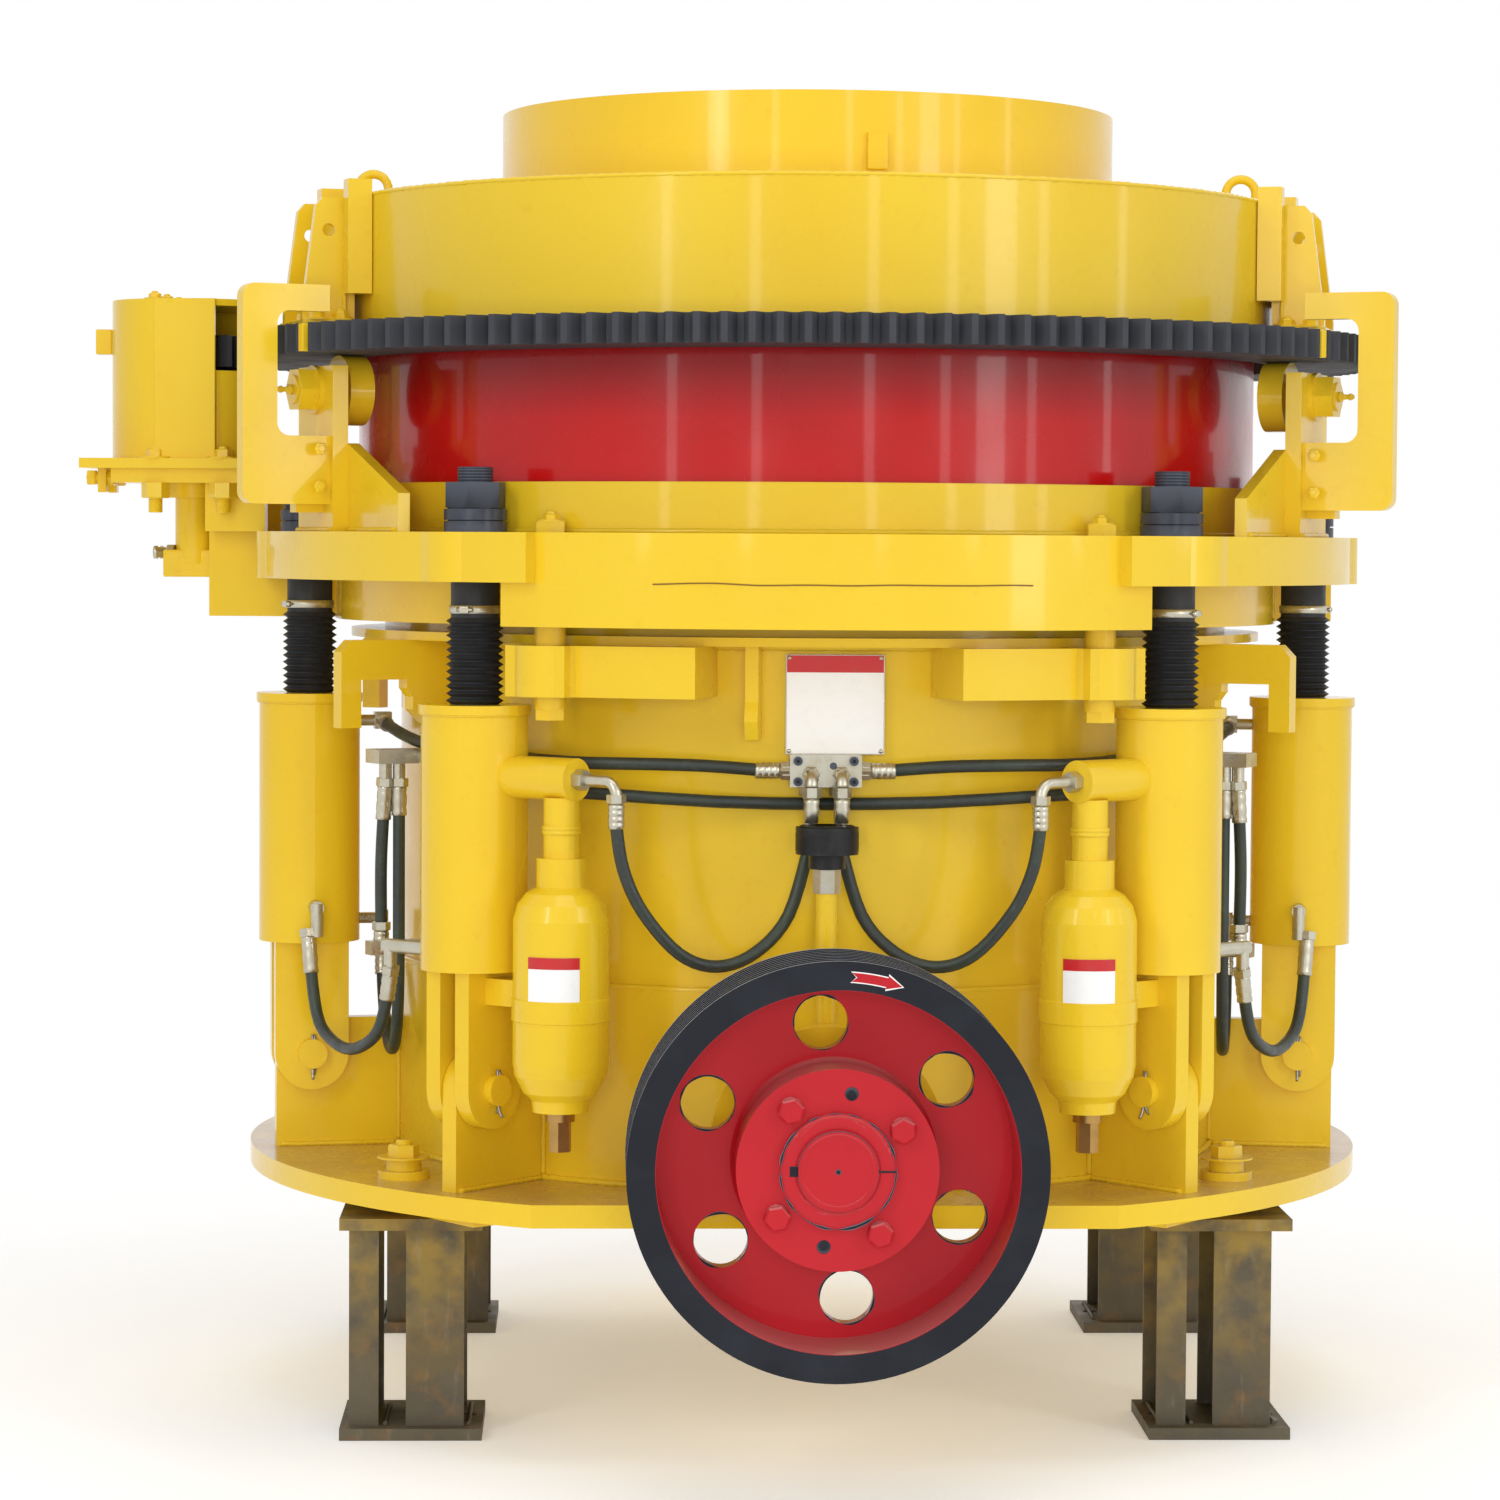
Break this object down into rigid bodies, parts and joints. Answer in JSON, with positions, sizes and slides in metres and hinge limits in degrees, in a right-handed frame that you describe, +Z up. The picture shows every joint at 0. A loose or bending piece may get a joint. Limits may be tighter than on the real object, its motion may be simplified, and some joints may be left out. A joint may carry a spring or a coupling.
{
  "type": "cone crusher",
  "caption": "Hydraulic cone crusher: flanged frame on steel stands, ring of release cylinders, geared adjustment drive, feed hopper and grooved belt pulley.",
  "frame": {"origin": "on the floor, on the vertical machine axis, in the middle of the four stands", "axes": "+Z up, -Y towards the drive pulley at the front, +X to the right seen from the front"},
  "size_m": [2.3344, 2.272, 2.278],
  "materials": {
    "yellow_paint": "gloss",
    "red_paint": "gloss",
    "pulley_paint": "satin",
    "stand_steel": "matt",
    "dark_iron": "matt",
    "bare_iron": "matt",
    "bronze": "satin",
    "steel": "satin",
    "zinc": "satin",
    "rubber": "matt",
    "hose_rubber": "matt",
    "black_plastic": "satin"
  },
  "bodies": {
    "frame": {"stands": "stand_steel", "pads": "yellow_paint", "main_frame": "yellow_paint", "guide_ears": "yellow_paint", "clevis_brackets": "yellow_paint", "hook_plates": "yellow_paint", "hub": "yellow_paint", "shaft_housing": "yellow_paint", "shaft_bearings": "bronze", "mantle": "bare_iron", "feed_plate": "bare_iron", "barrels": "yellow_paint", "clevis_pins": "yellow_paint", "bellows": "rubber", "accumulators": "yellow_paint", "accumulator_valves": "bronze", "manifold": "zinc", "hose_fittings": "zinc", "oil_pipe": "yellow_paint", "breather": "black_plastic", "hose_loop_left": "hose_rubber", "hose_loop_right": "hose_rubber", "hose_top_left": "hose_rubber", "hose_top_right": "hose_rubber", "hose_cross": "hose_rubber", "hose_drop_left": "hose_rubber", "hose_drop_right": "hose_rubber", "hose_under_left": "hose_rubber", "hose_under_right": "hose_rubber", "hose_u_left": "hose_rubber", "hose_u_right": "hose_rubber"},
    "pulley": {"pulley_rim": "dark_iron", "pulley_web": "pulley_paint", "taper_bush": "pulley_paint", "countershaft": "pulley_paint"},
    "lift_ring": {"adjust_ring": "yellow_paint", "clamp_band": "yellow_paint", "rods": "dark_iron", "rod_nuts": "dark_iron", "guide_pins": "yellow_paint", "roller_posts": "yellow_paint", "roller_axles": "steel", "calipers": "yellow_paint", "motor_base": "yellow_paint", "pinion_case": "yellow_paint", "ring_motor": "yellow_paint"},
    "drive_ring": {"gear_ring": "dark_iron", "drive_arms": "yellow_paint"},
    "bowl": {"thread_drum": "red_paint", "bowl": "yellow_paint", "bowl_liner": "bare_iron", "cap": "yellow_paint", "cap_plate": "yellow_paint", "hopper": "yellow_paint"},
    "pinion": {"pinion": "dark_iron"},
    "roller_a": {"roller_a": "yellow_paint"},
    "roller_b": {"roller_b": "yellow_paint"},
    "roller_c": {"roller_c": "yellow_paint"},
    "roller_d": {"roller_d": "yellow_paint"}
  },
  "joints": [
    {"name": "pulley_turn", "type": "hinge", "parent": "frame", "child": "pulley", "pos_m": [0, -1, 0.545], "axis": [0, -1, 0], "continuous": true},
    {"name": "ring_lift", "type": "slide", "parent": "frame", "child": "lift_ring", "axis": [0, 0, 1], "range_m": [0, 0.04], "deforming": ["bellows"]},
    {"name": "drive_turn", "type": "hinge", "parent": "lift_ring", "child": "drive_ring", "pos_m": [0, 0, 1.856], "axis": [0, 0, 1], "range_deg": [-360, 360]},
    {"name": "bowl_screw", "type": "slide", "parent": "drive_ring", "child": "bowl", "axis": [0, 0, 1], "range_m": [-0.025, 0.025]},
    {"name": "pinion_turn", "type": "hinge", "parent": "lift_ring", "child": "pinion", "pos_m": [-1.1186, 0.13735, 1.85], "axis": [0, 0, 1], "range_deg": [-3060, 3060]},
    {"name": "roller_a_turn", "type": "hinge", "parent": "lift_ring", "child": "roller_a", "pos_m": [-0.445, 0.77076, 1.772], "axis": [-0.5, 0.866, 0], "range_deg": [-5400, 5400]},
    {"name": "roller_b_turn", "type": "hinge", "parent": "lift_ring", "child": "roller_b", "pos_m": [-0.8033, -0.38316, 1.772], "axis": [-0.9026, -0.4305, 0], "range_deg": [-5400, 5400]},
    {"name": "roller_c_turn", "type": "hinge", "parent": "lift_ring", "child": "roller_c", "pos_m": [0.8033, -0.38316, 1.772], "axis": [0.9026, -0.4305, 0], "range_deg": [-5400, 5400]},
    {"name": "roller_d_turn", "type": "hinge", "parent": "lift_ring", "child": "roller_d", "pos_m": [0.445, 0.77076, 1.772], "axis": [0.5, 0.866, 0], "range_deg": [-5400, 5400]}
  ],
  "couplings": [
    {"joint": "bowl_screw", "follows": "drive_turn", "m_per_rad": 0.0038197},
    {"joint": "pinion_turn", "follows": "drive_turn", "ratio": -8.4706},
    {"joint": "roller_a_turn", "follows": "drive_turn", "ratio": -14.833},
    {"joint": "roller_b_turn", "follows": "drive_turn", "ratio": -14.833},
    {"joint": "roller_c_turn", "follows": "drive_turn", "ratio": -14.833},
    {"joint": "roller_d_turn", "follows": "drive_turn", "ratio": -14.833}
  ]
}
